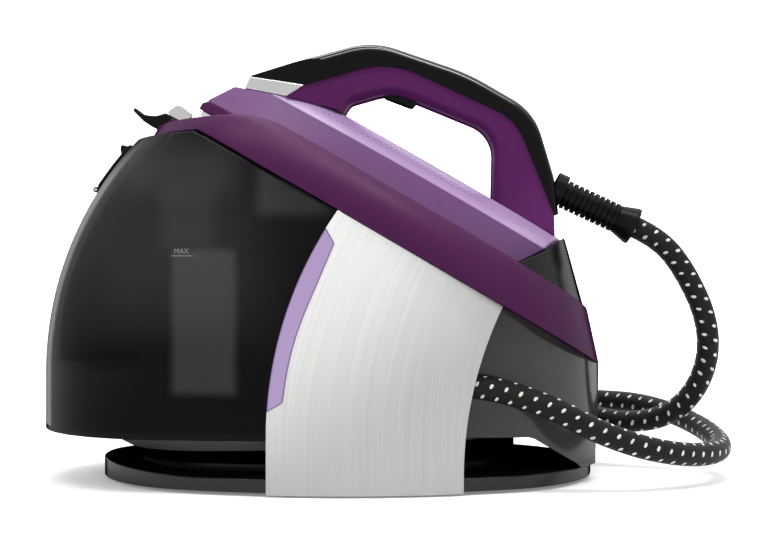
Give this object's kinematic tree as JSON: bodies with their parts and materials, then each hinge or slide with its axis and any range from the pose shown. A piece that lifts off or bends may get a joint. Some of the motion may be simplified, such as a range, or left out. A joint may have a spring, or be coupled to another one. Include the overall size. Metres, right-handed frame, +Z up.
{
  "type": "steam generator iron",
  "caption": "Steam generator iron: a base station with a lift-off iron on a sloping rest, a removable water tank, a locking lever and a braided steam hose.",
  "frame": {"origin": "on the floor, under the middle of the station with its iron, its cord left out", "axes": "+X towards the iron's heel and the hose, -X towards the water tank, +Y to the side with the control buttons, +Z up"},
  "size_m": [0.4923, 0.2404, 0.3096],
  "materials": {
    "base_plastic": "satin",
    "foot_rubber": "matte",
    "screw_steel": "satin",
    "housing_plastic": "gloss",
    "panel_plastic": "gloss",
    "panel_metal": "brushed",
    "strip_metal": "gloss",
    "tank_plastic": "clear smoked gloss",
    "lid_plastic": "gloss",
    "shell_purple": "pearl gloss",
    "tray_plastic": "satin",
    "pad_rubber": "matte",
    "button_plastic": "satin",
    "lens_plastic": "clear",
    "lever_plastic": "gloss",
    "hook_chrome": "polished",
    "pin_steel": "satin",
    "soleplate_metal": "polished",
    "cast_metal": "cast",
    "skirt_plastic": "satin",
    "iron_purple": "pearl gloss",
    "grip_plastic": "satin",
    "cap_plastic": "gloss",
    "trigger_plastic": "gloss",
    "gland_rubber": "matte",
    "hose_textile": "braided",
    "boiler_steel": "satin",
    "element_metal": "matte",
    "pump_plastic": "matte",
    "brass_fitting": "satin",
    "silicone": "translucent",
    "board": "matte"
  },
  "bodies": {
    "station": {"base_tray": "base_plastic", "foot_pads": "foot_rubber", "base_screws": "screw_steel", "belly_pan": "base_plastic", "boiler_housing": "housing_plastic", "hose_guide": "base_plastic", "side_panel_near": "panel_metal", "side_panel_far": "panel_metal", "trim_strip_near": "strip_metal", "trim_strip_far": "strip_metal", "boiler": "boiler_steel", "heating_element": "element_metal", "water_pump": "pump_plastic", "steam_valve": "brass_fitting", "water_pipe": "silicone", "steam_pipe": "silicone", "control_board": "board", "water_inlet": "gland_rubber", "hose_gland": "gland_rubber", "mains_gland": "gland_rubber", "rest_shell": "shell_purple", "rest_tray": "tray_plastic", "heel_stop": "tray_plastic", "rest_pads": "pad_rubber", "control_fascia": "panel_plastic", "indicator_lens": "lens_plastic", "lock_pin": "pin_steel", "steam_hose": "hose_textile"},
    "tank": {"water_tank": "tank_plastic", "tank_valve": "gland_rubber", "lid_pin": "pin_steel"},
    "lid": {"tank_lid": "lid_plastic"},
    "lever": {"lock_lever": "lever_plastic", "lock_hook_cover": "hook_chrome"},
    "power_key": {"power_button": "button_plastic"},
    "eco_key": {"eco_button": "button_plastic"},
    "drain": {"drain_cap": "cap_plastic"},
    "iron": {"soleplate": "soleplate_metal", "steam_chamber": "cast_metal", "iron_skirt": "skirt_plastic", "iron_shell": "iron_purple", "handle_grip": "grip_plastic", "handle_cap": "cap_plastic", "front_collar": "hook_chrome", "trigger_pin": "pin_steel", "microswitch": "pump_plastic", "hose_strain_relief": "gland_rubber"},
    "trigger": {"steam_trigger": "trigger_plastic"}
  },
  "joints": [
    {"name": "iron_lift", "type": "slide", "parent": "station", "child": "iron", "axis": [0.3419, 0, 0.9397], "range_m": [0, 0.12]},
    {"name": "trigger_press", "type": "hinge", "parent": "iron", "child": "trigger", "pos_m": [0.0482, 0, 0.27948], "axis": [0, -1, 0], "range_deg": [0, 4], "stiffness_Nm_per_rad": 0.6, "springref_deg": -5.73},
    {"name": "tank_slide", "type": "slide", "parent": "station", "child": "tank", "axis": [-1, 0, 0], "range_m": [0, 0.12]},
    {"name": "lid_hinge", "type": "hinge", "parent": "tank", "child": "lid", "pos_m": [-0.16234, 0, 0.205], "axis": [0, -1, 0], "range_deg": [0, 100]},
    {"name": "lever_tilt", "type": "hinge", "parent": "station", "child": "lever", "pos_m": [-0.10673, 0, 0.25114], "axis": [0, -1, 0], "range_deg": [0, 18], "stiffness_Nm_per_rad": 0.25, "springref_deg": -11.46},
    {"name": "power_press", "type": "slide", "parent": "station", "child": "power_key", "axis": [-0.5, 0, -0.866], "range_m": [0, 0.0015], "stiffness_N_per_m": 600, "springref_m": -0.001},
    {"name": "eco_press", "type": "slide", "parent": "station", "child": "eco_key", "axis": [-0.5, 0, -0.866], "range_m": [0, 0.0015], "stiffness_N_per_m": 600, "springref_m": -0.001},
    {"name": "drain_turn", "type": "hinge", "parent": "station", "child": "drain", "pos_m": [0.19, 0, 0.058], "axis": [1, 0, 0], "range_deg": [0, 90]}
  ]
}
